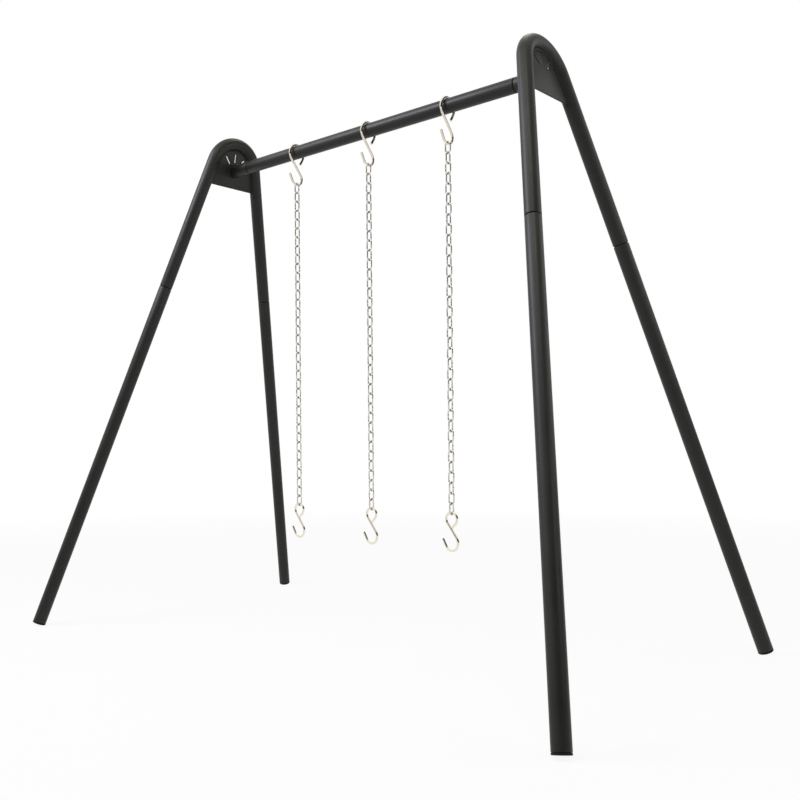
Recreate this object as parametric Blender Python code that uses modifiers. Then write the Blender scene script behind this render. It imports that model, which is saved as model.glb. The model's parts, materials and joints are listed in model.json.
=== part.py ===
# Campfire pot hanger: two leaning tube arches, a crossbar between them, three chains on S-hooks.
# Metres, +Z up. The origin is on the ground, midway between the four feet, and X runs along the crossbar.

import math

import bmesh
import bpy
from mathutils import Matrix, Vector

# Frame tube
TUBE_DIAMETER = 0.0254
TUBE_WALL = 0.0012
BEND_RADIUS = 0.0571
UPPER_LEG = 0.2894
LOWER_LEG = 0.7224
CROSSBAR_LENGTH = 0.6568
STUB_LENGTH = 0.0513
LEG_SPLAY = math.radians(16.04)
FRAME_LEAN = math.radians(12.7)

# Inner tubes that join the frame, and the open ring left between the tube ends
JOINT_GAP = 0.0015
SLEEVE_WALL = 0.0015
LEG_SLEEVE_SEAT = 0.040
LEG_SLEEVE_REACH = 0.060
SPIGOT_SETBACK = 0.012
SPIGOT_REACH = 0.045

# Gusset plate, with a fan of plain slots
PLATE_THICKNESS = 0.003
PLATE_DROP = 0.0345
SLOT_WIDTH = 0.003
SLOT_MARGIN = 0.008
SLOT_COUNT = 3
SLOT_STEP = math.radians(40)

# Foot plug
PLUG_FLANGE = 0.0027
PLUG_CHAMFER = 0.0008
PLUG_STEM = 0.018
PLUG_WALL = 0.0018

# Chain
LINK_WIRE = 0.00275
LINK_INNER_LENGTH = 0.0177
LINK_INNER_WIDTH = 0.0076
LINKS_PER_RUN = 4
RUNS_PER_CHAIN = 9
LINK_WELD = 0.0002

# Upper S-hook, over the crossbar
UPPER_WIRE = 0.0048
UPPER_BAR_SLACK = 0.0032
UPPER_LOWER_LOOP = 0.0133
UPPER_LOOP_SPACING = 0.0492
UPPER_CURL = math.radians(32)
UPPER_CURL_TAIL = 0.013
UPPER_MOUTH = math.radians(28)
UPPER_MOUTH_TAIL = 0.016

# Lower S-hook, on the last link
LOWER_WIRE = 0.0044
LOWER_UPPER_LOOP = 0.0115
LOWER_LOWER_LOOP = 0.0133
LOWER_LOOP_SPACING = 0.0410
LOWER_CLOSE = math.radians(48)
LOWER_MOUTH = math.radians(29)
LOWER_MOUTH_TAIL = 0.0155

# Where the three chains hang along the crossbar
CHAIN_PLACES = {"left": -0.187, "middle": 0.005, "right": 0.189}

# Clearance between pieces that touch
FIT_GAP = 0.0003

# Fineness of the round shapes
TUBE_SIDES = 20
HOOK_SIDES = 8
LINK_SIDES = 6
BEND_STEPS = 10
HOOK_ARC_STEP = math.radians(18)
LINK_CORNERS = 4
SLOT_END_STEPS = 4

# Sizes that follow from those above
TUBE_RADIUS = TUBE_DIAMETER / 2
SLEEVE_DIAMETER = TUBE_DIAMETER - 2 * TUBE_WALL - 2 * FIT_GAP
ARCH_X = CROSSBAR_LENGTH / 2 + JOINT_GAP + STUB_LENGTH + PLATE_THICKNESS / 2 / math.cos(FRAME_LEAN)
LEG_TILT = math.acos(math.cos(LEG_SPLAY) * math.cos(FRAME_LEAN))
LEG_REACH = UPPER_LEG + JOINT_GAP + LOWER_LEG + FIT_GAP + PLUG_FLANGE
FOOT_FACE_RADIUS = TUBE_RADIUS - PLUG_CHAMFER
FOOT_LIFT = FOOT_FACE_RADIUS * math.sin(LEG_TILT)
ARCH_ABOVE_FOOT = LEG_REACH * math.cos(LEG_SPLAY) - BEND_RADIUS * math.sin(LEG_SPLAY)
BAR_Z = ARCH_ABOVE_FOOT * math.cos(FRAME_LEAN) + FOOT_LIFT
LEG_DOWN = Vector((math.sin(LEG_SPLAY), -math.cos(LEG_SPLAY), 0))
UPPER_LOOP = TUBE_RADIUS + UPPER_BAR_SLACK + UPPER_WIRE / 2
LINK_TURN = math.pi / LINK_CORNERS
LINK_HALF = LINK_WIRE / 2 * math.cos(LINK_TURN / 2)
FUSED_PITCH = LINK_INNER_LENGTH + LINK_WELD
LOOSE_PITCH = LINK_INNER_LENGTH - FIT_GAP
RUN_PITCH = (LINKS_PER_RUN - 1) * FUSED_PITCH + LOOSE_PITCH


def clear_scene():
    for obj in list(bpy.data.objects):
        bpy.data.objects.remove(obj, do_unlink=True)


def new_collection(name):
    collection = bpy.data.collections.new(name)
    bpy.context.scene.collection.children.link(collection)
    return collection


def new_material(name, colour, metallic, roughness):
    made = bpy.data.materials.new(name)
    made.use_nodes = True
    made.diffuse_color = (*colour, 1)
    shader = made.node_tree.nodes["Principled BSDF"]
    shader.inputs["Base Color"].default_value = (*colour, 1)
    shader.inputs["Metallic"].default_value = metallic
    shader.inputs["Roughness"].default_value = roughness
    return made


def add_object(name, data, collection, parent=None, finish=None):
    obj = bpy.data.objects.new(name, data)
    collection.objects.link(obj)
    obj.parent = parent
    if finish:
        obj.data.materials.clear()
        obj.data.materials.append(finish)
    return obj


def add_empty(name, matrix, parent=None):
    empty = add_object(name, None, parts, parent)
    empty.matrix_local = matrix
    return empty


# Curves, tubes and wires

def poly_curve(name, points, diameter, sides, cyclic=False, caps=True):
    curve = bpy.data.curves.new(name, "CURVE")
    curve.dimensions = "3D"
    curve.bevel_depth = diameter / 2
    curve.bevel_resolution = round((sides - 4) / 2)
    curve.use_fill_caps = caps and not cyclic
    spline = curve.splines.new("POLY")
    spline.points.add(len(points) - 1)
    for knot, point in zip(spline.points, points):
        knot.co = (*point, 1)
    spline.use_cyclic_u = cyclic
    return curve


def add_tube(name, points, diameter, wall, parent, finish):
    curve = poly_curve(name, points, diameter, TUBE_SIDES, caps=False)
    obj = add_object(name, curve, parts, parent, finish)
    shell = obj.modifiers.new("wall", "SOLIDIFY")
    shell.thickness = wall
    shell.offset = -1
    shell.use_even_offset = True
    return obj


def evaluated_mesh(obj):
    graph = bpy.context.evaluated_depsgraph_get()
    graph.update()
    mesh = bpy.data.meshes.new_from_object(obj.evaluated_get(graph))
    bm = bmesh.new()
    bm.from_mesh(mesh)
    bmesh.ops.remove_doubles(bm, verts=bm.verts, dist=1e-6)
    bm.to_mesh(mesh)
    bm.free()
    return mesh


def mesh_from(obj):
    mesh = evaluated_mesh(obj)
    made = bpy.data.objects.new(obj.name + "_mesh", mesh)
    parts.objects.link(made)
    made.parent = obj.parent
    made.matrix_world = obj.matrix_world
    name = obj.name
    bpy.data.objects.remove(obj, do_unlink=True)
    made.name = name
    return made


def cut(obj, cutter, operation="DIFFERENCE"):
    cutter.hide_render = True
    cutter.display_type = "WIRE"
    step = obj.modifiers.new(operation.lower(), "BOOLEAN")
    step.operation = operation
    step.object = cutter
    step.solver = "EXACT"


def arc_points(centre, radius, start, middle, end, step):
    # an arc with a point at its middle angle, which is its top or bottom
    angles = [start]
    for low, high in ((start, middle), (middle, end)):
        count = math.ceil(abs(high - low) / step)
        angles += [low + (high - low) * i / count for i in range(1, count + 1)]
    return [centre + radius * Vector((math.cos(a), math.sin(a))) for a in angles]


# End frames: arch tube, plate, stub and spigot

def frame_matrix(side):
    across = Vector((0, side, 0))
    up = Vector((-side * math.sin(FRAME_LEAN), 0, math.cos(FRAME_LEAN)))
    out = across.cross(up)
    turn = Matrix((across, up, out)).transposed().to_4x4()
    return Matrix.Translation((side * ARCH_X, 0, BAR_Z)) @ turn


def bend_arc(radius):
    step = (math.pi - 2 * LEG_SPLAY) / BEND_STEPS
    angles = [LEG_SPLAY + i * step for i in range(BEND_STEPS + 1)]
    return [radius * Vector((math.cos(a), math.sin(a), 0)) for a in angles]


def mirrored(point):
    return Vector((-point.x, point.y, point.z))


def build_arch_tube(name, frame, finish):
    arc = bend_arc(BEND_RADIUS)
    end = arc[0] + UPPER_LEG * LEG_DOWN
    return add_tube(name, [end, *arc, mirrored(end)], TUBE_DIAMETER, TUBE_WALL, frame, finish)


def plate_outline():
    radius = BEND_RADIUS - TUBE_RADIUS - FIT_GAP
    arc = bend_arc(radius)
    side_length = (PLATE_DROP + arc[0].y) / math.cos(LEG_SPLAY)
    corner = arc[0] + side_length * LEG_DOWN
    return [corner, *arc, mirrored(corner)]


def slot_outline(angle):
    inner = TUBE_RADIUS + SLOT_MARGIN
    outer = BEND_RADIUS - TUBE_RADIUS - SLOT_MARGIN
    half = SLOT_WIDTH / 2
    points = []
    for reach, facing in ((outer, 0), (inner, math.pi)):
        for i in range(SLOT_END_STEPS + 1):
            a = facing - math.pi / 2 + math.pi * i / SLOT_END_STEPS
            points.append(Vector((reach + half * math.cos(a), half * math.sin(a), 0)))
    turn = Matrix.Rotation(angle, 3, "Z")
    return [turn @ p for p in points]


def build_plate(name, frame, finish):
    curve = bpy.data.curves.new(name, "CURVE")
    curve.dimensions = "2D"
    curve.fill_mode = "BOTH"
    curve.extrude = PLATE_THICKNESS / 2
    middle = (SLOT_COUNT - 1) / 2
    slots = [slot_outline(math.pi / 2 + (i - middle) * SLOT_STEP) for i in range(SLOT_COUNT)]
    for outline in [plate_outline(), *slots]:
        spline = curve.splines.new("POLY")
        spline.points.add(len(outline) - 1)
        for knot, point in zip(spline.points, outline):
            knot.co = (*point, 1)
        spline.use_cyclic_u = True
    return add_object(name, curve, parts, frame, finish)


def build_stub(name, side, frame, finish):
    start = CROSSBAR_LENGTH / 2 + JOINT_GAP
    far = ARCH_X + TUBE_DIAMETER
    ends = [Vector((side * x, 0, BAR_Z)) for x in (start, far)]
    stub = mesh_from(add_tube(name, ends, TUBE_DIAMETER, TUBE_WALL, None, finish))
    block = bpy.data.meshes.new(name + "_seat")
    bm = bmesh.new()
    bmesh.ops.create_cube(bm, size=1.0)
    bm.to_mesh(block)
    bm.free()
    seat = add_object(name + "_seat", block, cutters)
    depth = 4 * TUBE_DIAMETER
    lift = depth / 2 - PLATE_THICKNESS / 2 - FIT_GAP
    size = Matrix.Diagonal((depth, depth, depth, 1))
    seat.matrix_world = frame_matrix(side) @ Matrix.Translation((0, 0, lift)) @ size
    cut(stub, seat)
    place = stub.matrix_world.copy()
    stub.parent = frame
    stub.matrix_parent_inverse = frame_matrix(side).inverted()
    stub.matrix_basis = place
    return stub


def build_spigot(name, side, frame, finish):
    inner = CROSSBAR_LENGTH / 2 - SPIGOT_REACH
    outer = CROSSBAR_LENGTH / 2 + JOINT_GAP + STUB_LENGTH - SPIGOT_SETBACK
    to_frame = frame_matrix(side).inverted()
    ends = [to_frame @ Vector((side * x, 0, BAR_Z)) for x in (inner, outer)]
    return add_tube(name, ends, SLEEVE_DIAMETER, SLEEVE_WALL, frame, finish)


# Legs: lower tube, sleeve and foot plug, each set on an axis that runs down the leg

def leg_matrix(side, depth):
    down = Vector((depth * side * LEG_DOWN.x, LEG_DOWN.y, 0))
    joint = bend_arc(BEND_RADIUS)[0] + UPPER_LEG * LEG_DOWN
    joint.x *= depth * side
    up = -down
    out = Vector((0, 0, 1))
    turn = Matrix((out, up.cross(out), up)).transposed().to_4x4()
    return Matrix.Translation(joint) @ turn


def build_lower_leg(name, axis, finish):
    ends = [Vector((0, 0, -JOINT_GAP)), Vector((0, 0, -JOINT_GAP - LOWER_LEG))]
    return add_tube(name, ends, TUBE_DIAMETER, TUBE_WALL, axis, finish)


def build_leg_sleeve(name, axis, finish):
    ends = [Vector((0, 0, LEG_SLEEVE_REACH)), Vector((0, 0, -LEG_SLEEVE_SEAT))]
    return add_tube(name, ends, SLEEVE_DIAMETER, SLEEVE_WALL, axis, finish)


def build_foot_plug(name, axis, finish):
    seat = -JOINT_GAP - LOWER_LEG - FIT_GAP
    face = seat - PLUG_FLANGE
    stem = SLEEVE_DIAMETER / 2
    profile = [
        (0, seat),
        (stem - PLUG_WALL, seat),
        (stem - PLUG_WALL, seat + PLUG_STEM),
        (stem, seat + PLUG_STEM),
        (stem, seat),
        (TUBE_RADIUS, seat),
        (TUBE_RADIUS, face + PLUG_CHAMFER),
        (FOOT_FACE_RADIUS, face),
        (0, face),
    ]
    mesh = bpy.data.meshes.new(name)
    edges = [(i, i + 1) for i in range(len(profile) - 1)]
    mesh.from_pydata([(x, 0, z) for x, z in profile], edges, [])
    plug = add_object(name, mesh, parts, axis, finish)
    turned = plug.modifiers.new("turned", "SCREW")
    turned.steps = round(TUBE_SIDES)
    turned.render_steps = round(TUBE_SIDES)
    turned.use_merge_vertices = True
    turned.merge_threshold = 0.00001
    return plug


# Hooks: a wire bent into two loops that a slanting shank joins

def hook_shank(first, second, spacing):
    return math.asin((first + second) / spacing)


def hook_path(first, second, spacing, curl, curl_tail, mouth, mouth_tail):
    slant = hook_shank(first, second, spacing)
    quarter = math.pi / 2
    top = arc_points(Vector((0, 0)), first, -curl, quarter, math.pi + slant, HOOK_ARC_STEP)
    low = arc_points(Vector((0, -spacing)), second, slant, -quarter, -math.pi + mouth, HOOK_ARC_STEP)
    start = top[0] + curl_tail * Vector((-math.sin(curl), -math.cos(curl)))
    end = low[-1] + mouth_tail * Vector((-math.sin(mouth), math.cos(mouth)))
    return [start, *top, *low, end]


def closing_tail(first, second, spacing, curl, wire):
    # length that brings the tail's end against the side of the shank
    slant = hook_shank(first, second, spacing)
    along = Vector((math.sin(slant), -math.cos(slant)))
    side = Vector((math.cos(slant), math.sin(slant)))
    start = first * Vector((math.cos(curl), -math.sin(curl)))
    heading = Vector((-math.sin(curl), -math.cos(curl)))
    reach = start.dot(side) + first
    corner = wire / 2 * abs(heading.dot(along))
    return (reach - wire / 2 - corner - FIT_GAP) / -heading.dot(side)


def build_upper_hook(name, place, finish):
    flat = hook_path(
        UPPER_LOOP, UPPER_LOWER_LOOP, UPPER_LOOP_SPACING,
        UPPER_CURL, UPPER_CURL_TAIL, UPPER_MOUTH, UPPER_MOUTH_TAIL,
    )
    drop = upper_loop_drop()
    points = [Vector((0, p.x, p.y - drop)) for p in flat]
    curve = poly_curve(name, points, UPPER_WIRE, HOOK_SIDES)
    hook = add_object(name, curve, parts, None, finish)
    hook.location = (place, 0, BAR_Z)
    return hook


def upper_loop_drop():
    return UPPER_LOOP - UPPER_WIRE / 2 - TUBE_RADIUS - FIT_GAP


def upper_hook_low():
    # height of the wire's centre at the bottom of the upper hook
    return BAR_Z - upper_loop_drop() - UPPER_LOOP_SPACING - UPPER_LOWER_LOOP


def build_lower_hook(name, pivot, finish):
    tail = closing_tail(LOWER_UPPER_LOOP, LOWER_LOWER_LOOP, LOWER_LOOP_SPACING, LOWER_CLOSE, LOWER_WIRE)
    flat = hook_path(
        LOWER_UPPER_LOOP, LOWER_LOWER_LOOP, LOWER_LOOP_SPACING,
        LOWER_CLOSE, tail, LOWER_MOUTH, LOWER_MOUTH_TAIL,
    )
    points = [Vector((p.x, 0, p.y - LOWER_UPPER_LOOP)) for p in flat]
    curve = poly_curve(name, points, LOWER_WIRE, HOOK_SIDES)
    return add_object(name, curve, parts, pivot, finish)


# Chains: runs of links that swing on each other

def link_path():
    # a long link with rounded ends, hung from the middle of its upper wire
    half_width = LINK_INNER_WIDTH / 2 + LINK_HALF
    half_length = LINK_INNER_LENGTH / 2 + LINK_HALF
    turns = [LINK_TURN * (i + 0.5) for i in range(LINK_CORNERS)]
    radius = half_width / math.cos(turns[0])
    rise = half_length - radius * math.cos(LINK_TURN / 2)
    upper = [Vector((radius * math.cos(a), 0, rise + radius * math.sin(a))) for a in turns]
    lower = [Vector((-p.x, 0, -p.z)) for p in upper]
    return [p - Vector((0, 0, half_length)) for p in upper + lower]


def link_mesh():
    # six-sided wire with a flat face inwards, the flats one wire apart
    across_corners = LINK_WIRE / math.cos(math.pi / LINK_SIDES)
    curve = poly_curve("link", link_path(), across_corners, LINK_SIDES, cyclic=True)
    shape = add_object("link", curve, cutters)
    mesh = evaluated_mesh(shape)
    bpy.data.objects.remove(shape, do_unlink=True)
    return mesh


def links_at(name, single, places):
    mesh = bpy.data.meshes.new(name)
    bm = bmesh.new()
    for i in places:
        bm.verts.ensure_lookup_table()
        before = len(bm.verts)
        bm.from_mesh(single)
        bm.verts.ensure_lookup_table()
        move = Matrix.Translation((0, 0, -i * FUSED_PITCH)) @ Matrix.Rotation(i * math.pi / 2, 4, "Z")
        bmesh.ops.transform(bm, matrix=move, verts=bm.verts[before:])
    bm.to_mesh(mesh)
    bm.free()
    return mesh


def run_mesh():
    single = link_mesh()
    odd = add_object("odd_links", links_at("odd_links", single, range(0, LINKS_PER_RUN, 2)), cutters)
    even = add_object("even_links", links_at("even_links", single, range(1, LINKS_PER_RUN, 2)), cutters)
    cut(odd, even, "UNION")
    mesh = evaluated_mesh(odd)
    mesh.name = "chain_run"
    mesh.shade_smooth()
    mesh.set_sharp_from_angle(angle=math.radians(50))
    for obj in (odd, even):
        bpy.data.objects.remove(obj, do_unlink=True)
    return mesh


def build_chain(side, place, run, finish):
    # each run's pivot is the middle of its upper wire, which rests in the link above
    hung = upper_hook_low() + UPPER_WIRE / 2 + FIT_GAP + LINK_HALF
    pivot = add_empty(f"{side}_chain_1_pivot", Matrix.Translation((place, 0, hung)))
    add_object(f"{side}_chain_1", run, parts, pivot, finish)
    step = Matrix.Translation((0, 0, -RUN_PITCH))
    for number in range(2, RUNS_PER_CHAIN + 1):
        pivot = add_empty(f"{side}_chain_{number}_pivot", step, pivot)
        add_object(f"{side}_chain_{number}", run, parts, pivot, finish)
    low = Vector((0, 0, LOWER_WIRE / 2 - LINK_HALF - RUN_PITCH))
    pivot = add_empty(f"{side}_lower_hook_pivot", Matrix.Translation(low), pivot)
    build_lower_hook(f"{side}_lower_hook", pivot, finish)


clear_scene()
parts = new_collection("campfire_hanger")
cutters = new_collection("cutters")

black_coat = new_material("black_coat", (0.022, 0.021, 0.023), 0.0, 0.45)
black_plug = new_material("black_plug", (0.015, 0.015, 0.016), 0.0, 0.6)
plated_steel = new_material("plated_steel", (0.78, 0.75, 0.70), 1.0, 0.18)

# The crossbar
half_bar = CROSSBAR_LENGTH / 2
bar_ends = [Vector((-half_bar, 0, 0)), Vector((half_bar, 0, 0))]
crossbar = add_tube("crossbar", bar_ends, TUBE_DIAMETER, TUBE_WALL, None, black_coat)
crossbar.location = (0, 0, BAR_Z)

# The two end frames and their legs
for side_name, side in (("left", -1), ("right", 1)):
    frame = add_empty(side_name + "_end_frame", frame_matrix(side))
    build_arch_tube(side_name + "_arch_tube", frame, black_coat)
    build_plate(side_name + "_gusset_plate", frame, black_coat)
    build_stub(side_name + "_stub_tube", side, frame, black_coat)
    build_spigot(side_name + "_bar_spigot", side, frame, black_coat)
    for depth_name, depth in (("front", -1), ("back", 1)):
        leg = f"{depth_name}_{side_name}"
        axis = add_empty(leg + "_leg_axis", leg_matrix(side, depth), frame)
        build_lower_leg(leg + "_lower_leg", axis, black_coat)
        build_leg_sleeve(leg + "_leg_sleeve", axis, black_coat)
        build_foot_plug(leg + "_foot_plug", axis, black_plug)

# The three chains and their hooks
chain_run = run_mesh()
for chain_name, place in CHAIN_PLACES.items():
    build_upper_hook(chain_name + "_upper_hook", place, plated_steel)
    build_chain(chain_name, place, chain_run, plated_steel)
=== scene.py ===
import json
import math

import bmesh
import bpy
from mathutils import Matrix, Vector


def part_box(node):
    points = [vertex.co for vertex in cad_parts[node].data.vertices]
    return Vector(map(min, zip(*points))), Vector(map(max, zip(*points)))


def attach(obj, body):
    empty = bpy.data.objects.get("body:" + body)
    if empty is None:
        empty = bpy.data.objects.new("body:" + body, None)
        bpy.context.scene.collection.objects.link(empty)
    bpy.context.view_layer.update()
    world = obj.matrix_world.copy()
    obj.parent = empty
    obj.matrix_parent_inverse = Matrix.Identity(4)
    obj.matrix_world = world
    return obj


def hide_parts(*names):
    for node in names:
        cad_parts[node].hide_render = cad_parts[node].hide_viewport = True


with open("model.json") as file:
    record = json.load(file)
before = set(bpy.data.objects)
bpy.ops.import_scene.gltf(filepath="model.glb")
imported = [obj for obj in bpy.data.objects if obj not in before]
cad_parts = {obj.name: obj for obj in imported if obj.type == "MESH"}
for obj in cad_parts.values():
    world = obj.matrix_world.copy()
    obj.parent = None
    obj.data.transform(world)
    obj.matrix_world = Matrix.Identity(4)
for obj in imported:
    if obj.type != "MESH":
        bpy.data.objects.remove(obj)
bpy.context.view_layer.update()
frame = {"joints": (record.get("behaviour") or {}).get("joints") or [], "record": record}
joints = {joint["name"]: joint for joint in frame["joints"]}
feet = {mount["name"]: mount for mount in frame["record"]["mounts"]}


# shader node helpers

def newGroup(name, inputs, outputs):
    group = bpy.data.node_groups.new(name, "ShaderNodeTree")
    for label in inputs:
        group.interface.new_socket(name=label, in_out="INPUT", socket_type="NodeSocketFloat")
    for label in outputs:
        group.interface.new_socket(name=label, in_out="OUTPUT", socket_type="NodeSocketFloat")
    source = group.nodes.new("NodeGroupInput")
    result = group.nodes.new("NodeGroupOutput")
    return group, source, result


def placeGroup(tree, group, **values):
    node = tree.nodes.new("ShaderNodeGroup")
    node.node_tree = group
    for label, number in values.items():
        node.inputs[label].default_value = number
    return node


def addNoise(tree, vector, scale, detail, rough=0.55):
    noise = tree.nodes.new("ShaderNodeTexNoise")
    noise.inputs["Detail"].default_value = detail
    noise.inputs["Roughness"].default_value = rough
    tree.links.new(vector, noise.inputs["Vector"])
    if isinstance(scale, (int, float)):
        noise.inputs["Scale"].default_value = scale
    else:
        tree.links.new(scale, noise.inputs["Scale"])
    return noise.outputs["Fac"]


def addRange(tree, value, fromLow, fromHigh, toLow=0.0, toHigh=1.0):
    remap = tree.nodes.new("ShaderNodeMapRange")
    limits = {"From Min": fromLow, "From Max": fromHigh, "To Min": toLow, "To Max": toHigh}
    for label, number in limits.items():
        remap.inputs[label].default_value = number
    tree.links.new(value, remap.inputs["Value"])
    return remap.outputs["Result"]


def addMath(tree, operation, first, second):
    step = tree.nodes.new("ShaderNodeMath")
    step.operation = operation
    for socket, value in zip(step.inputs, (first, second)):
        if isinstance(value, (int, float)):
            socket.default_value = value
        else:
            tree.links.new(value, socket)
    return step.outputs["Value"]


def addSplit(tree, vector):
    split = tree.nodes.new("ShaderNodeSeparateXYZ")
    tree.links.new(vector, split.inputs["Vector"])
    return split


# coat grain, shared by the coated and moulded finishes
grainLook = {
    "peelDetail": 2.0, "fineScale": 3400.0, "fineDetail": 1.0, "fineShare": 0.35,
    "unevenScale": 14.0, "unevenDetail": 3.0, "unevenEdge": (0.3, 0.7),
    "nibScale": 260.0, "nibDetail": 0.0, "nibEdge": (0.76, 0.82), "nibShare": 0.6,
}


def makeCoatGrain():
    # orange peel, soft uneven thickness and a few dust nibs under the coat
    group, source, result = newGroup("coatGrain", ["Peel Scale"], ["Height", "Uneven"])
    place = group.nodes.new("ShaderNodeTexCoord").outputs["Object"]
    peel = addNoise(group, place, source.outputs["Peel Scale"], grainLook["peelDetail"])
    fine = addNoise(group, place, grainLook["fineScale"], grainLook["fineDetail"])
    uneven = addNoise(group, place, grainLook["unevenScale"], grainLook["unevenDetail"])
    nibs = addNoise(group, place, grainLook["nibScale"], grainLook["nibDetail"])
    spots = addRange(group, nibs, *grainLook["nibEdge"])
    height = addMath(group, "ADD", peel, addMath(group, "MULTIPLY", fine, grainLook["fineShare"]))
    height = addMath(group, "ADD", height, addMath(group, "MULTIPLY", spots, grainLook["nibShare"]))
    group.links.new(height, result.inputs["Height"])
    group.links.new(addRange(group, uneven, *grainLook["unevenEdge"]), result.inputs["Uneven"])
    return group


# drawn metal, shared by the plated finishes
drawnLook = {"lineDetail": 2.0, "cloudScale": 120.0, "cloudDetail": 2.0, "cloudEdge": (0.3, 0.7)}


def makeDrawnMetal():
    # fine draw lines and a cloudy polish on plated wire
    group, source, result = newGroup("drawnMetal", ["Line Scale", "Stretch"], ["Lines", "Cloud"])
    place = group.nodes.new("ShaderNodeTexCoord").outputs["Object"]
    squeeze = group.nodes.new("ShaderNodeCombineXYZ")
    squeeze.inputs["X"].default_value = 1.0
    squeeze.inputs["Y"].default_value = 1.0
    group.links.new(source.outputs["Stretch"], squeeze.inputs["Z"])
    along = group.nodes.new("ShaderNodeVectorMath")
    along.operation = "MULTIPLY"
    group.links.new(place, along.inputs[0])
    group.links.new(squeeze.outputs["Vector"], along.inputs[1])
    lines = addNoise(group, along.outputs["Vector"], source.outputs["Line Scale"], drawnLook["lineDetail"])
    cloud = addNoise(group, place, drawnLook["cloudScale"], drawnLook["cloudDetail"])
    group.links.new(lines, result.inputs["Lines"])
    group.links.new(addRange(group, cloud, *drawnLook["cloudEdge"]), result.inputs["Cloud"])
    return group


coatGrain = makeCoatGrain()
drawnMetal = makeDrawnMetal()


# finishes

def startMaterial(name):
    made = bpy.data.materials.new(name)
    made.use_nodes = True
    return made, made.node_tree, made.node_tree.nodes["Principled BSDF"]


def linkTint(tree, shader, mask, low, high):
    tint = tree.nodes.new("ShaderNodeMix")
    tint.data_type = "RGBA"
    tint.inputs["A"].default_value = (*low, 1)
    tint.inputs["B"].default_value = (*high, 1)
    tree.links.new(mask, tint.inputs["Factor"])
    tree.links.new(tint.outputs["Result"], shader.inputs["Base Color"])


def linkGloss(tree, shader, mask, gloss):
    tree.links.new(addRange(tree, mask, 0.0, 1.0, *gloss), shader.inputs["Roughness"])


def linkBump(tree, shader, height, strength, distance):
    bump = tree.nodes.new("ShaderNodeBump")
    bump.inputs["Strength"].default_value = strength
    bump.inputs["Distance"].default_value = distance
    tree.links.new(height, bump.inputs["Height"])
    tree.links.new(bump.outputs["Normal"], shader.inputs["Normal"])


blackCoat = {
    "dark": (0.0145, 0.0148, 0.0125), "pale": (0.0185, 0.0188, 0.0162), "specular": 0.25,
    "gloss": (0.39, 0.46), "peel": 900.0, "depth": 0.00012, "strength": 0.22,
}
plugMould = {
    "dark": (0.005, 0.005, 0.0048), "pale": (0.008, 0.008, 0.0076), "specular": 0.15,
    "gloss": (0.56, 0.68), "peel": 1600.0, "depth": 0.00018, "strength": 0.35,
}
# inner tubes: black coat darker than the frame's, partly their own black and partly painted shade in the
# joint gaps
innerTube = {
    "dark": (0.0025, 0.0025, 0.0025), "pale": (0.004, 0.004, 0.0038), "specular": 0.1,
    "gloss": (0.55, 0.65), "peel": 700.0, "depth": 0.0001, "strength": 0.2,
}


def makeBlackCoat(name, look):
    made, tree, shader = startMaterial(name)
    grain = placeGroup(tree, coatGrain, **{"Peel Scale": look["peel"]})
    linkTint(tree, shader, grain.outputs["Uneven"], look["dark"], look["pale"])
    linkGloss(tree, shader, grain.outputs["Uneven"], look["gloss"])
    shader.inputs["Specular IOR Level"].default_value = look["specular"]
    linkBump(tree, shader, grain.outputs["Height"], look["strength"], look["depth"])
    return made


platedWire = {
    "base": (0.87, 0.825, 0.70), "wearAndShade": (0.83, 0.785, 0.66), "cloud": 1.0, "gloss": (0.05, 0.11),
    "lines": 2600.0, "stretch": 0.25, "depth": 0.00005, "strength": 0.05,
}
# on the links the dark tone is mostly painted shade at the seats, with only a slight cloudy wear
platedLink = {
    "base": (0.76, 0.735, 0.685), "wearAndShade": (0.020, 0.013, 0.008), "cloud": 0.06, "gloss": (0.22, 0.32),
    "lines": 2600.0, "stretch": 0.25, "depth": 0.00005, "strength": 0.05,
    "seatStep": 0.017775, "seatShift": 0.001385, "seatReach": (0.10, 0.15), "seatSpread": (0.0013, 0.0020),
}


def addPaintedSeatShade(tree, look):
    # painted shade: a small dark spot where each link sits in the next, standing in for the shadow in that
    # crevice
    split = addSplit(tree, tree.nodes.new("ShaderNodeTexCoord").outputs["Object"])
    height = addMath(tree, "ADD", split.outputs["Z"], look["seatShift"])
    fromSeat = addMath(tree, "PINGPONG", addMath(tree, "DIVIDE", height, look["seatStep"]), 0.5)
    level = addRange(tree, fromSeat, *look["seatReach"], 1.0, 0.0)
    squares = [addMath(tree, "POWER", split.outputs[label], 2.0) for label in ("X", "Y")]
    fromAxis = addMath(tree, "POWER", addMath(tree, "ADD", *squares), 0.5)
    spread = addRange(tree, fromAxis, *look["seatSpread"], 1.0, 0.0)
    return addMath(tree, "MULTIPLY", level, spread)


def makePlated(name, look):
    made, tree, shader = startMaterial(name)
    metal = placeGroup(tree, drawnMetal, **{"Line Scale": look["lines"], "Stretch": look["stretch"]})
    shader.inputs["Metallic"].default_value = 1.0
    mask = addMath(tree, "MULTIPLY", metal.outputs["Cloud"], look["cloud"])
    # painted shade at the link seats, laid over the cloudy wear
    if "seatStep" in look:
        mask = addMath(tree, "MAXIMUM", mask, addPaintedSeatShade(tree, look))
    linkTint(tree, shader, mask, look["base"], look["wearAndShade"])
    linkGloss(tree, shader, metal.outputs["Cloud"], look["gloss"])
    linkBump(tree, shader, metal.outputs["Lines"], look["strength"], look["depth"])
    return made


coatFinish = makeBlackCoat("blackCoat", blackCoat)
plugFinish = makeBlackCoat("plugMould", plugMould)
innerFinish = makeBlackCoat("innerTube", innerTube)
wireFinish = makePlated("platedWire", platedWire)
linkFinish = makePlated("platedLink", platedLink)
print("finishes ready")


# sweeping rings along a path, for tubes, wires and weld beads

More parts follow.
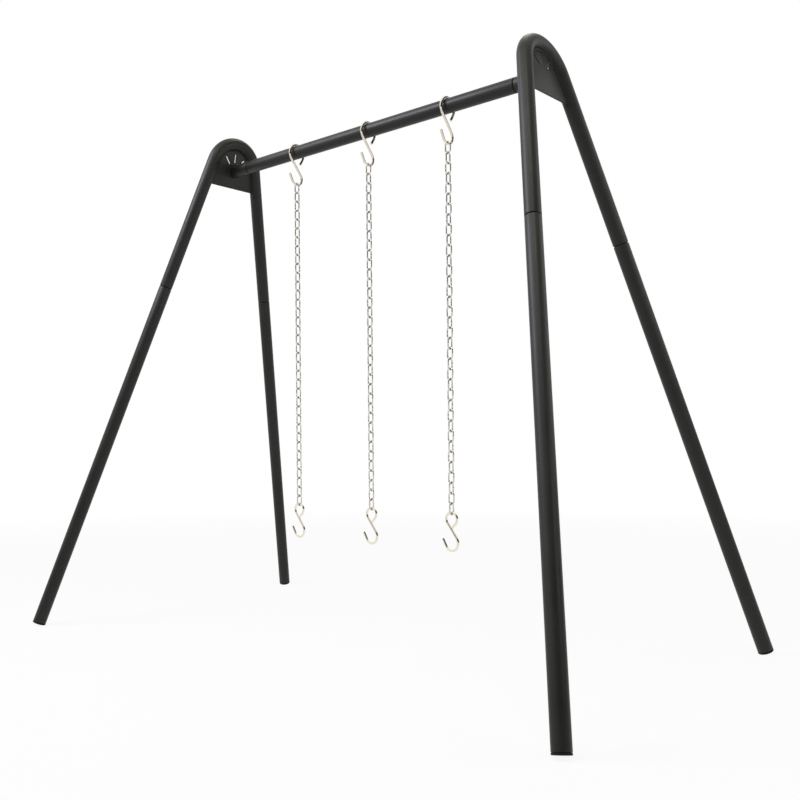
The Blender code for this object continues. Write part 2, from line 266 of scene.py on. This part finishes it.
def circle(centre, tangent, normal, radius, count):
    side = tangent.cross(normal).normalized()
    up = side.cross(tangent)
    turns = [2 * math.pi * i / count for i in range(count)]
    return [centre + radius * (math.cos(a) * side + math.sin(a) * up) for a in turns]


def skin(bm, rings, closed):
    rows = [[bm.verts.new(point) for point in ring] for ring in rings]
    pairs = list(zip(rows, rows[1:]))
    if closed:
        pairs.append((rows[-1], rows[0]))
    for low, high in pairs:
        count = len(low)
        for i in range(count):
            bm.faces.new((low[i], low[(i + 1) % count], high[(i + 1) % count], high[i]))
    if not closed:
        bm.faces.new(rows[0])
        bm.faces.new(list(reversed(rows[-1])))


def smoothMesh(name, bm):
    bmesh.ops.recalc_face_normals(bm, faces=bm.faces)
    mesh = bpy.data.meshes.new(name)
    bm.to_mesh(mesh)
    bm.free()
    mesh.shade_smooth()
    return mesh


def placePiece(name, mesh, finish, body, node, matrix=None):
    piece = bpy.data.objects.new(name, mesh)
    bpy.context.scene.collection.objects.link(piece)
    if not mesh.materials:
        mesh.materials.append(finish)
    if matrix:
        piece.matrix_world = matrix
    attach(piece, body)
    if node:
        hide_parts(node)


def meshPiece(name, bm, finish, body, node, creaseAngle=40):
    mesh = smoothMesh(name, bm)
    mesh.set_sharp_from_angle(angle=math.radians(creaseAngle))
    placePiece(name, mesh, finish, body, node)


def straightPath(start, end, steps=2):
    way = (end - start).normalized()
    return [(start.lerp(end, i / steps), way) for i in range(steps + 1)]


# the frame tube, in metres as in the solids
tube = {
    "radius": 0.0127, "wall": 0.0012, "bendRadius": 0.0571, "upperLeg": 0.2894, "lowerLeg": 0.7224,
    "splay": math.radians(16.04), "lean": math.radians(12.7), "barHalf": 0.3284, "gap": 0.0003,
    "jointGap": 0.0015, "plate": 0.003, "stub": 0.0513, "sides": 48, "bendSteps": 36, "runSteps": 8,
    "lip": 0.0008, "lipSteps": 4, "chamferShare": 0.3,
    "stubShare": 0.6,  # of the stub's length, before its far end is drawn out to the plate
}
barHeight = sum(corner.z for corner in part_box("crossbar")) / 2
stubEnd = tube["barHalf"] + tube["jointGap"] + tube["stub"]
archOut = stubEnd + tube["plate"] / 2 / math.cos(tube["lean"])
sides = {"left": -1, "right": 1}
zAxis = Vector((0, 0, 1))


def frameMatrix(side):
    across = Vector((0, side, 0))
    up = Vector((-side * math.sin(tube["lean"]), 0, math.cos(tube["lean"])))
    turn = Matrix((across, up, across.cross(up))).transposed().to_4x4()
    return Matrix.Translation((side * archOut, 0, barHeight)) @ turn


def tubeRings(path, normal, radius, wall):
    # path holds (point, tangent) pairs; the ends get a rounded outer edge and a small inner chamfer
    bore = radius - wall
    chamfer = wall * tube["chamferShare"]
    turns = [math.pi / 2 * i / tube["lipSteps"] for i in range(tube["lipSteps"] + 1)]
    (startPoint, startWay), (endPoint, endWay) = path[0], path[-1]

    def ring(point, way, size):
        return circle(point, way, normal, size, tube["sides"])

    def lipRing(point, way, inward, a):
        setback = inward * tube["lip"] * (1 - math.sin(a))
        return ring(point + setback, way, radius - tube["lip"] * (1 - math.cos(a)))

    rings = [lipRing(startPoint, startWay, startWay, a) for a in reversed(turns)]
    rings += [ring(point, way, radius) for point, way in path[1:-1]]
    rings += [lipRing(endPoint, endWay, -endWay, a) for a in turns]
    rings.append(ring(endPoint, endWay, bore + chamfer))
    rings.append(ring(endPoint - endWay * chamfer, endWay, bore))
    rings += [ring(point, way, bore) for point, way in reversed(path[1:-1])]
    rings.append(ring(startPoint + startWay * chamfer, startWay, bore))
    rings.append(ring(startPoint, startWay, bore + chamfer))
    return rings


def addTube(name, path, normal, body, node, finish=coatFinish, radius=tube["radius"], wall=tube["wall"]):
    bm = bmesh.new()
    skin(bm, tubeRings(path, normal, radius, wall), True)
    meshPiece(name, bm, finish, body, node)


def bendPath(radius):
    # from one tangent point over the top to the other, in the arch plane
    sweep = math.pi - 2 * tube["splay"]
    path = []
    for i in range(tube["bendSteps"] + 1):
        a = tube["splay"] + sweep * i / tube["bendSteps"]
        path.append((radius * Vector((math.cos(a), math.sin(a), 0)), Vector((-math.sin(a), math.cos(a), 0))))
    return path


def buildCrossbar():
    left, right = (Vector((side * tube["barHalf"], 0, barHeight)) for side in sides.values())
    addTube("crossbarTube", straightPath(left, right, tube["runSteps"]), zAxis, "crossbar", "crossbar")


def buildArch(sideName, side):
    place = frameMatrix(side)
    turn = place.to_3x3()
    down = Vector((math.sin(tube["splay"]), -math.cos(tube["splay"]), 0))
    bend = bendPath(tube["bendRadius"])
    start = bend[0][0] + tube["upperLeg"] * down
    end = Vector((-start.x, start.y, 0))
    path = [(start, -down), *bend, (end, Vector((-down.x, down.y, 0)))]
    path = [(place @ point, turn @ way) for point, way in path]
    addTube(sideName + "ArchTube", path, turn @ zAxis, sideName + "_end_frame", sideName + "_arch_tube")


def buildStub(sideName, side):
    # square end at the crossbar, the other end cut to the leaning plate
    place = frameMatrix(side)
    inward = -(place.to_3x3() @ zAxis)
    plateFace = place.translation + inward * (tube["plate"] / 2 + tube["gap"])
    start = Vector((side * (tube["barHalf"] + tube["jointGap"]), 0, barHeight))
    way = Vector((side, 0, 0))
    path = straightPath(start, start + way * tube["stub"] * tube["stubShare"])
    rings = tubeRings(path, zAxis, tube["radius"], tube["wall"])
    cutFirst = tube["lipSteps"] + len(path) - 1  # the far end's first ring, at full radius
    cutLast = cutFirst + tube["lipSteps"] + 2  # the far end's last ring, at the bore
    cut = [rings[cutFirst], rings[cutLast]]
    for ring in cut:
        for i, point in enumerate(ring):
            reach = (plateFace - point).dot(inward) / way.dot(inward)
            ring[i] = point + way * reach
    bm = bmesh.new()
    skin(bm, rings[:cutFirst] + cut + rings[cutLast + 1:], True)
    meshPiece(sideName + "StubTube", bm, coatFinish, sideName + "_end_frame", sideName + "_stub_tube")


buildCrossbar()
for sideName, side in sides.items():
    buildArch(sideName, side)
    buildStub(sideName, side)
print("crossbar, arches and stubs built")


# gusset plates with their slots, and the weld beads that hold them
plate = {
    "drop": 0.0345, "edge": 0.0004, "edgeSteps": 2, "merge": 1e-6, "crease": 30,
    "slotWidth": 0.003, "slotMargin": 0.008, "slotCount": 3, "slotStep": math.radians(40), "slotEndSteps": 10,
}
bead = {
    "radius": 0.0014, "ripple": 0.00012, "pitch": 0.0024, "step": 0.0006, "sides": 10, "crease": 60,
    "askew": (0.31, 0.67, 0.67),  # a direction that no seam runs along
}


def plateOutline():
    arc = [point for point, way in bendPath(tube["bendRadius"] - tube["radius"] - tube["gap"])]
    down = Vector((math.sin(tube["splay"]), -math.cos(tube["splay"]), 0))
    corner = arc[0] + down * (plate["drop"] + arc[0].y) / math.cos(tube["splay"])
    return [corner, *arc, Vector((-corner.x, corner.y, 0))]


def slotOutline(angle):
    nearEnd = tube["radius"] + plate["slotMargin"]
    farEnd = tube["bendRadius"] - tube["radius"] - plate["slotMargin"]
    half = plate["slotWidth"] / 2
    points = []
    for reach, facing in ((farEnd, 0), (nearEnd, math.pi)):
        for i in range(plate["slotEndSteps"] + 1):
            a = facing - math.pi / 2 + math.pi * i / plate["slotEndSteps"]
            points.append(Vector((reach + half * math.cos(a), half * math.sin(a), 0)))
    return [Matrix.Rotation(angle, 3, "Z") @ point for point in points]


def plateMesh(outlines):
    curve = bpy.data.curves.new("plateShape", "CURVE")
    curve.dimensions = "2D"
    curve.fill_mode = "BOTH"
    curve.extrude = tube["plate"] / 2 - plate["edge"]
    curve.bevel_depth = plate["edge"]
    curve.bevel_resolution = plate["edgeSteps"]
    curve.offset = -plate["edge"]
    for outline in outlines:
        spline = curve.splines.new("POLY")
        spline.points.add(len(outline) - 1)
        for knot, point in zip(spline.points, outline):
            knot.co = (*point, 1)
        spline.use_cyclic_u = True
    shape = bpy.data.objects.new("plateShape", curve)
    bpy.context.scene.collection.objects.link(shape)
    bpy.context.view_layer.update()
    mesh = bpy.data.meshes.new_from_object(shape.evaluated_get(bpy.context.evaluated_depsgraph_get()))
    bpy.data.objects.remove(shape, do_unlink=True)
    return mesh


def beadAlong(bm, points, closed=False):
    # a low rippled bead, even steps along the line
    length = 0.0
    rings = []
    for i, point in enumerate(points):
        before = points[i - 1] if i or closed else point
        after = points[(i + 1) % len(points)] if i + 1 < len(points) or closed else point
        if i:
            length += (point - points[i - 1]).length
        way = (after - before).normalized()
        normal = Vector(bead["askew"]).cross(way).normalized()
        radius = bead["radius"] + bead["ripple"] * math.sin(2 * math.pi * length / bead["pitch"])
        rings.append(circle(point, way, normal, radius, bead["sides"]))
    skin(bm, rings, closed)


def evenSteps(points, step):
    made = [points[0]]
    for start, end in zip(points, points[1:]):
        count = max(1, round((end - start).length / step))
        made += [start.lerp(end, i / count) for i in range(1, count + 1)]
    return made


def buildPlate(sideName, side):
    middle = (plate["slotCount"] - 1) / 2
    fan = [math.pi / 2 + (i - middle) * plate["slotStep"] for i in range(plate["slotCount"])]
    bm = bmesh.new()
    bm.from_mesh(plateMesh([plateOutline(), *[slotOutline(angle) for angle in fan]]))
    bmesh.ops.remove_doubles(bm, verts=bm.verts, dist=plate["merge"])
    bmesh.ops.transform(bm, matrix=frameMatrix(side), verts=bm.verts)
    meshPiece(sideName + "GussetPlate", bm, coatFinish, sideName + "_end_frame", sideName + "_gusset_plate",
              plate["crease"])


def buildWelds(sideName, side):
    # along the plate's edge on both faces, and round the stub where it meets the plate
    place = frameMatrix(side)
    bm = bmesh.new()
    seam = evenSteps(plateOutline(), bead["step"])
    for facing in (-1, 1):
        beadAlong(bm, [place @ (point + Vector((0, 0, facing * tube["plate"] / 2))) for point in seam])
    inward = -(place.to_3x3() @ zAxis)
    plateFace = place.translation + inward * tube["plate"] / 2
    ring = []
    ringSteps = round(2 * math.pi * tube["radius"] / bead["step"])
    for i in range(ringSteps):
        a = 2 * math.pi * i / ringSteps
        edge = Vector((0, tube["radius"] * math.cos(a), barHeight + tube["radius"] * math.sin(a)))
        ring.append(edge + Vector((1, 0, 0)) * (plateFace - edge).dot(inward) / inward.x)
    beadAlong(bm, ring, closed=True)
    meshPiece(sideName + "WeldBeads", bm, coatFinish, sideName + "_end_frame", None,
              bead["crease"])


for sideName, side in sides.items():
    buildPlate(sideName, side)
    buildWelds(sideName, side)
print("plates and welds built")


# inner tubes that show when the frame is pulled apart
inner = {"wall": 0.0015, "seat": 0.040, "reach": 0.060, "barReach": 0.045, "setback": 0.012}
inner["radius"] = tube["radius"] - tube["wall"] - tube["gap"]


def addInnerTube(name, start, end, normal, body, node):
    addTube(name, straightPath(start, end), normal, body, node, innerFinish, inner["radius"], inner["wall"])


for sideName, side in sides.items():
    near = Vector((side * (tube["barHalf"] - inner["barReach"]), 0, barHeight))
    far = Vector((side * (stubEnd - inner["setback"]), 0, barHeight))
    addInnerTube(sideName + "BarSpigot", near, far, zAxis, sideName + "_end_frame", sideName + "_bar_spigot")


# legs: lower tube, sleeve and foot plug along each leg's own axis
plug = {
    "flange": 0.0027, "edge": 0.0008, "edgeSteps": 5, "seatEdge": 0.0003,
    "dishRim": (0.004, 0.0046), "dish": 0.0004, "sides": 48, "crease": 30,
    "stem": 0.018, "wall": 0.0018, "stemTaper": 0.0006,
    "ribs": 3, "ribRise": 0.00025, "ribLead": 0.0012, "ribBack": 0.0004,
}


def plugProfile():
    # (radius, height above the flange's seat) from the inside of the stem round to the foot face
    rim, stem = tube["radius"], inner["radius"]
    bore = stem - plug["wall"]
    root = stem - plug["ribRise"]
    foot = -plug["flange"]
    points = [(0.0, 0.0), (bore, 0.0), (bore, plug["stem"]), (stem - plug["stemTaper"], plug["stem"])]
    for i in range(plug["ribs"], 0, -1):
        crest = i * plug["stem"] / (plug["ribs"] + 1)
        points += [(root, crest + plug["ribLead"]), (stem, crest), (root, crest - plug["ribBack"])]
    points += [(root, 0.0), (rim - plug["seatEdge"], 0.0), (rim, -plug["seatEdge"])]
    for i in range(plug["edgeSteps"] + 1):
        a = math.pi / 2 * i / plug["edgeSteps"]
        points.append((rim - plug["edge"] * (1 - math.cos(a)), foot + plug["edge"] * (1 - math.sin(a))))
    dishStart, dishEnd = plug["dishRim"]
    points += [(rim - dishStart, foot), (rim - dishEnd, foot + plug["dish"]), (0.0, foot + plug["dish"])]
    return points


def latheAlong(bm, profile, seat, up, steps):
    side = up.orthogonal().normalized()
    other = up.cross(side)
    turns = [2 * math.pi * i / steps for i in range(steps)]
    spokes = [math.cos(a) * side + math.sin(a) * other for a in turns]
    rows = []
    for radius, height in profile:
        centre = seat + up * height
        if radius == 0.0:
            rows.append([bm.verts.new(centre)])
            continue
        rows.append([bm.verts.new(centre + radius * spoke) for spoke in spokes])
    for low, high in zip(rows, rows[1:]):
        for i in range(steps):
            j = (i + 1) % steps
            if len(low) == 1:
                bm.faces.new((low[0], high[j], high[i]))
            elif len(high) == 1:
                bm.faces.new((low[i], low[j], high[0]))
            else:
                bm.faces.new((low[i], low[j], high[j], high[i]))


def buildLeg(depthName, sideName):
    leg = depthName + "_" + sideName
    title = depthName + sideName.capitalize()
    body = leg + "_leg"
    down = Vector(joints[leg + "_leg_pull"]["axis"]).normalized()
    normal = down.orthogonal().normalized()
    footFace = Vector(feet[leg + "_foot"]["pos_m"])
    seat = footFace - down * plug["flange"]
    tubeEnd = seat - down * tube["gap"]
    tubeTop = tubeEnd - down * tube["lowerLeg"]
    joint = tubeTop - down * tube["jointGap"]
    tubePath = straightPath(tubeTop, tubeEnd, tube["runSteps"])
    addTube(title + "LowerLeg", tubePath, normal, body, leg + "_lower_leg")
    sleeveTop, sleeveEnd = joint - down * inner["reach"], joint + down * inner["seat"]
    addInnerTube(title + "LegSleeve", sleeveTop, sleeveEnd, normal, body, leg + "_leg_sleeve")
    bm = bmesh.new()
    latheAlong(bm, plugProfile(), seat, -down, plug["sides"])
    meshPiece(title + "FootPlug", bm, plugFinish, body, leg + "_foot_plug", plug["crease"])


for depthName in ("front", "back"):
    for sideName in sides:
        buildLeg(depthName, sideName)
print("legs, sleeves and foot plugs built")


# S-hooks, bent from plated wire with cut ends
upperHook = {
    "wire": 0.0048, "slack": 0.0032, "lowLoop": 0.0133, "spacing": 0.0492, "curl": math.radians(32),
    "curlTail": 0.013, "mouth": math.radians(28), "mouthTail": 0.016,
    "sides": 20, "chamfer": 0.0004, "arcStep": math.radians(5), "crease": 35,
}
lowerHook = {
    "wire": 0.0044, "topLoop": 0.0115, "lowLoop": 0.0133, "spacing": 0.0410, "curl": math.radians(48),
    "mouth": math.radians(29), "mouthTail": 0.0155,
    "sides": 20, "chamfer": 0.0004, "arcStep": math.radians(5), "crease": 35,
}


def arcPath(centre, radius, start, end, step):
    count = math.ceil(abs(end - start) / step)
    spin = 1 if end > start else -1
    path = []
    for i in range(count + 1):
        a = start + (end - start) * i / count
        point = centre + radius * Vector((math.cos(a), math.sin(a)))
        path.append((point, spin * Vector((-math.sin(a), math.cos(a)))))
    return path


def hookSlant(hook, topLoop):
    return math.asin((topLoop + hook["lowLoop"]) / hook["spacing"])


def hookPath(hook, topLoop, curlTail):
    # flat path from the curled end, over the top loop, down the slanting shank and round to the mouth
    slant = hookSlant(hook, topLoop)
    lowCentre = Vector((0, -hook["spacing"]))
    top = arcPath(Vector((0, 0)), topLoop, -hook["curl"], math.pi + slant, hook["arcStep"])
    low = arcPath(lowCentre, hook["lowLoop"], slant, -math.pi + hook["mouth"], hook["arcStep"])
    tail = top[0][0] - curlTail * top[0][1]
    end = low[-1][0] + hook["mouthTail"] * low[-1][1]
    return [(tail, top[0][1]), *top, *low, (end, low[-1][1])]


def closingTail(hook, topLoop):
    # how far the curled end runs before it rests against the shank
    slant = hookSlant(hook, topLoop)
    along = Vector((math.sin(slant), -math.cos(slant)))
    across = Vector((math.cos(slant), math.sin(slant)))
    start = topLoop * Vector((math.cos(hook["curl"]), -math.sin(hook["curl"])))
    heading = Vector((-math.sin(hook["curl"]), -math.cos(hook["curl"])))
    corner = hook["wire"] / 2 * abs(heading.dot(along))
    return (start.dot(across) + topLoop - hook["wire"] / 2 - corner - tube["gap"]) / -heading.dot(across)


def addHook(name, path, normal, hook, body):
    # a hook's body has the name of its node
    radius, chamfer = hook["wire"] / 2, hook["chamfer"]
    (startPoint, startWay), (endPoint, endWay) = path[0], path[-1]

    def ring(point, way, size=radius):
        return circle(point, way, normal, size, hook["sides"])

    rings = [ring(startPoint, startWay, radius - chamfer), ring(startPoint + startWay * chamfer, startWay)]
    rings += [ring(point, way) for point, way in path[1:-1]]
    rings += [ring(endPoint - endWay * chamfer, endWay), ring(endPoint, endWay, radius - chamfer)]
    bm = bmesh.new()
    skin(bm, rings, False)
    meshPiece(name, bm, wireFinish, body, body, hook["crease"])


def buildUpperHook(chainName):
    low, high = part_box(chainName + "_upper_hook")
    place = (low.x + high.x) / 2
    topLoop = tube["radius"] + upperHook["slack"] + upperHook["wire"] / 2
    drop = upperHook["slack"] - tube["gap"]
    flat = hookPath(upperHook, topLoop, upperHook["curlTail"])
    path = [(Vector((place, p.x, barHeight - drop + p.y)), Vector((0, w.x, w.y))) for p, w in flat]
    addHook(chainName + "UpperHook", path, Vector((1, 0, 0)), upperHook, chainName + "_upper_hook")


def buildLowerHook(chainName):
    pivot = Vector(joints[chainName + "_lower_hook_swing"]["pos_m"])
    topLoop = lowerHook["topLoop"]
    flat = hookPath(lowerHook, topLoop, closingTail(lowerHook, topLoop))
    path = [(pivot + Vector((p.x, 0, p.y - topLoop)), Vector((w.x, 0, w.y))) for p, w in flat]
    addHook(chainName + "LowerHook", path, Vector((0, 1, 0)), lowerHook, chainName + "_lower_hook")


# chain runs: four welded links each, hung from the pivot of the run
link = {
    "wire": 0.00275, "innerLength": 0.0178, "innerWidth": 0.0076, "pitch": 0.017775, "perRun": 4, "runs": 9,
    "sides": 14, "bendSteps": 12, "weld": 0.00022, "weldHalf": 0.0016, "weldSteps": 8,
}


def linkRings():
    radius = link["wire"] / 2
    half = (link["innerWidth"] + link["wire"]) / 2
    straight = (link["innerLength"] + link["wire"]) / 2 - half
    centre = Vector((0, 0, -half - straight))
    rings = []

    def add(point, way, thick=radius):
        rings.append(circle(centre + point, way, Vector((0, 1, 0)), thick, link["sides"]))

    for start, level in ((0, straight), (math.pi, -straight)):
        for i in range(link["bendSteps"] + 1):
            a = start + math.pi * i / link["bendSteps"]
            point = Vector((half * math.cos(a), 0, level + half * math.sin(a)))
            add(point, Vector((-math.sin(a), 0, math.cos(a))))
    for i in range(link["weldSteps"] + 1):
        t = 2 * i / link["weldSteps"] - 1
        swell = link["weld"] * math.cos(t * math.pi / 2) ** 2
        add(Vector((half, 0, t * link["weldHalf"])), zAxis, radius + swell)
    return rings


def runMesh():
    bm = bmesh.new()
    for i in range(link["perRun"]):
        move = Matrix.Translation((0, 0, -i * link["pitch"])) @ Matrix.Rotation(i * math.pi / 2, 4, "Z")
        skin(bm, [[move @ point for point in ring] for ring in linkRings()], True)
    return smoothMesh("chainRun", bm)


chainRun = runMesh()
for chainName in ("left", "middle", "right"):
    buildUpperHook(chainName)
    buildLowerHook(chainName)
    for number in range(1, link["runs"] + 1):
        run = f"{chainName}_chain_{number}"
        place = Matrix.Translation(joints[run + "_swing"]["pos_m"])
        placePiece(f"{chainName}Chain{number}", chainRun, linkFinish, run, run, place)
print("hooks and chains built")


# white floor that keeps only a faint shadow near the feet
floorLook = {
    "size": 60.0, "colour": (0.98, 0.98, 0.98), "rough": 0.9, "shade": 0.10, "near": 0.5, "far": 3.2,
    "mirrorDepth": (-0.75, -0.35), "mirrorTone": 0.80,
}


def makeFloorWhite():
    made, tree, shader = startMaterial("floorWhite")
    shader.inputs["Base Color"].default_value = (*floorLook["colour"], 1)
    shader.inputs["Roughness"].default_value = floorLook["rough"]
    glow = tree.nodes.new("ShaderNodeEmission")
    glow.inputs["Color"].default_value = (1, 1, 1, 1)
    path = tree.nodes.new("ShaderNodeLightPath")
    seen = addMath(tree, "MAXIMUM", path.outputs["Is Camera Ray"], path.outputs["Is Glossy Ray"])
    where = tree.nodes.new("ShaderNodeTexCoord").outputs["Object"]
    depth = addSplit(tree, where).outputs["Y"]
    # painted shadow: in reflections the floor is darker towards the front
    mirrored = addRange(tree, depth, *floorLook["mirrorDepth"], floorLook["mirrorTone"], 1.0)
    tree.links.new(addMath(tree, "MAXIMUM", mirrored, path.outputs["Is Camera Ray"]), glow.inputs["Strength"])
    reach = tree.nodes.new("ShaderNodeVectorMath")
    reach.operation = "LENGTH"
    tree.links.new(where, reach.inputs[0])
    shadeEdge = (floorLook["near"], floorLook["far"])
    plain = addRange(tree, reach.outputs["Value"], *shadeEdge, 1 - floorLook["shade"], 1.0)
    mix = tree.nodes.new("ShaderNodeMixShader")
    tree.links.new(addMath(tree, "MULTIPLY", seen, plain), mix.inputs["Fac"])
    tree.links.new(shader.outputs["BSDF"], mix.inputs[1])
    tree.links.new(glow.outputs["Emission"], mix.inputs[2])
    tree.links.new(mix.outputs["Shader"], tree.nodes["Material Output"].inputs["Surface"])
    return made


def buildFloor():
    bm = bmesh.new()
    bmesh.ops.create_grid(bm, x_segments=1, y_segments=1, size=floorLook["size"] / 2)
    mesh = bpy.data.meshes.new("floor")
    bm.to_mesh(mesh)
    bm.free()
    mesh.materials.append(makeFloorWhite())
    floor = bpy.data.objects.new("floor", mesh)
    bpy.context.scene.collection.objects.link(floor)


# white studio; polished wire shows a dark room to the right and a soft bank at the front left
studio = {
    "light": 0.06, "dark": 0.02,
    "room": (0.88, -0.42, 0.2), "roomReach": (-0.1, 0.1), "roomFoot": (0.05, 0.12), "roomHead": (0.66, 0.78),
    "bank": (-0.57, -0.59, 0.57), "bankReach": (0.62, 0.76), "bankFoot": (0.18, 0.26),
}


def addMirroredShade(tree):
    # how bright the studio is in each direction, as polished wire sees it
    way = tree.nodes.new("ShaderNodeTexCoord").outputs["Generated"]
    rise = addSplit(tree, way).outputs["Z"]

    def towards(patch, reach):
        facing = tree.nodes.new("ShaderNodeVectorMath")
        facing.operation = "DOT_PRODUCT"
        facing.inputs[1].default_value = Vector(patch).normalized()
        tree.links.new(way, facing.inputs[0])
        return addRange(tree, facing.outputs["Value"], *reach)

    roomFoot = addRange(tree, rise, *studio["roomFoot"])
    roomHead = addRange(tree, rise, *studio["roomHead"], 1.0, 0.0)
    roomLevels = addMath(tree, "MULTIPLY", roomFoot, roomHead)
    room = addMath(tree, "MULTIPLY", towards(studio["room"], studio["roomReach"]), roomLevels)
    bankFoot = addRange(tree, rise, *studio["bankFoot"])
    bank = addMath(tree, "MULTIPLY", towards(studio["bank"], studio["bankReach"]), bankFoot)
    covered = addMath(tree, "MULTIPLY", room, addMath(tree, "SUBTRACT", 1.0, bank))
    return addRange(tree, covered, 0.0, 1.0, 1.0, studio["dark"])


def buildWorld():
    world = bpy.data.worlds.new("studio")
    bpy.context.scene.world = world
    world.use_nodes = True
    tree = world.node_tree
    tree.nodes.clear()

    def addBackground():
        node = tree.nodes.new("ShaderNodeBackground")
        node.inputs["Color"].default_value = (1, 1, 1, 1)
        return node

    ambient, shown, mirrored = addBackground(), addBackground(), addBackground()
    ambient.inputs["Strength"].default_value = studio["light"]
    tree.links.new(addMirroredShade(tree), mirrored.inputs["Strength"])
    path = tree.nodes.new("ShaderNodeLightPath")
    unseen = tree.nodes.new("ShaderNodeMixShader")
    tree.links.new(path.outputs["Is Glossy Ray"], unseen.inputs["Fac"])
    tree.links.new(ambient.outputs["Background"], unseen.inputs[1])
    tree.links.new(mirrored.outputs["Background"], unseen.inputs[2])
    whole = tree.nodes.new("ShaderNodeMixShader")
    seen = addMath(tree, "MAXIMUM", path.outputs["Is Camera Ray"], path.outputs["Is Transmission Ray"])
    tree.links.new(seen, whole.inputs["Fac"])
    tree.links.new(unseen.outputs["Shader"], whole.inputs[1])
    tree.links.new(shown.outputs["Background"], whole.inputs[2])
    result = tree.nodes.new("ShaderNodeOutputWorld")
    tree.links.new(whole.outputs["Shader"], result.inputs["Surface"])


buildFloor()
buildWorld()


# soft lamps; the overhead ones also reach the links
lamps = {
    "leftBank": {
        "at": (-0.86, -1.22, 1.8), "to": (0.1, 0, 0.7), "size": (1.0, 0.8), "power": 30,
        "colour": (0.86, 0.87, 1.0), "overhead": False},
    "frontBank": {
        "at": (0.22, -1.33, 2.19), "to": (0.1, 0, 0.7), "size": (0.5, 0.5), "power": 8,
        "colour": (1.0, 0.95, 0.98), "overhead": True},
    "rightBank": {
        "at": (1.05, -0.95, 2.19), "to": (0.1, 0, 0.7), "size": (0.5, 0.5), "power": 9,
        "colour": (0.97, 1.0, 0.86), "overhead": False},
    "backBank": {
        "at": (1.38, 0.92, 1.26), "to": (0.1, 0, 0.65), "size": (1.0, 1.0), "power": 6.1,
        "colour": (1.0, 1.0, 0.92), "overhead": False},
    "sideBank": {
        "at": (2.06, 0.0, 1.0), "to": (0.1, 0, 0.5), "size": (0.7, 0.7), "power": 4.6,
        "colour": (0.88, 0.95, 0.96), "overhead": False},
    "topBank": {
        "at": (-0.15, 0.8, 2.4), "to": (-0.3, 0, 1.0), "size": (0.7, 0.7), "power": 6,
        "colour": (1.0, 0.86, 0.72), "overhead": True},
}

# polished hooks mirror the studio itself and not the lamps, and the links catch only the overhead ones
coatLit = bpy.data.collections.new("coatLit")
linkLit = bpy.data.collections.new("linkLit")
for piece in [thing for thing in bpy.context.scene.objects if thing.type == "MESH"]:
    finish = piece.data.materials[0]
    if finish != wireFinish:
        linkLit.objects.link(piece)
        if finish != linkFinish:
            coatLit.objects.link(piece)


def addLamp(name, lamp):
    data = bpy.data.lights.new(name, "AREA")
    data.shape = "RECTANGLE"
    data.size, data.size_y = lamp["size"]
    data.energy = lamp["power"]
    data.color = lamp["colour"]
    lampObject = bpy.data.objects.new(name, data)
    bpy.context.scene.collection.objects.link(lampObject)
    lampObject.location = lamp["at"]
    way = Vector(lamp["to"]) - Vector(lamp["at"])
    lampObject.rotation_euler = way.to_track_quat("-Z", "Y").to_euler()
    lampObject.light_linking.receiver_collection = linkLit if lamp["overhead"] else coatLit


for lampName, lamp in lamps.items():
    addLamp(lampName, lamp)
print("studio lit")


# camera at the photograph's place
shot = {
    "at": (1.14373, -1.27513, 0.37036), "yaw": math.radians(-42.113), "pitch": math.radians(0.862),
    "roll": math.radians(-0.519), "lens": 41.57, "sensor": 36.0, "shift": (0.0435, 0.0301),
    "clip": (0.01, 200.0),
}


def buildCamera():
    data = bpy.data.cameras.new("shot")
    data.lens = shot["lens"]
    data.sensor_width = shot["sensor"]
    data.shift_x, data.shift_y = shot["shift"]
    data.clip_start, data.clip_end = shot["clip"]
    yaw, pitch, roll = shot["yaw"], shot["pitch"], shot["roll"]
    ahead = Vector((math.sin(yaw) * math.cos(pitch), math.cos(yaw) * math.cos(pitch), math.sin(pitch)))
    right = Vector((math.cos(yaw), -math.sin(yaw), 0))
    up = right.cross(ahead)
    across = right * math.cos(roll) + up * math.sin(roll)
    above = up * math.cos(roll) - right * math.sin(roll)
    camera = bpy.data.objects.new("shot", data)
    bpy.context.scene.collection.objects.link(camera)
    turn = Matrix((across, above, -ahead)).transposed().to_4x4()
    camera.matrix_world = Matrix.Translation(shot["at"]) @ turn
    bpy.context.scene.camera = camera


buildCamera()
bpy.context.scene.view_settings.view_transform = "Standard"
bpy.context.view_layer.update()
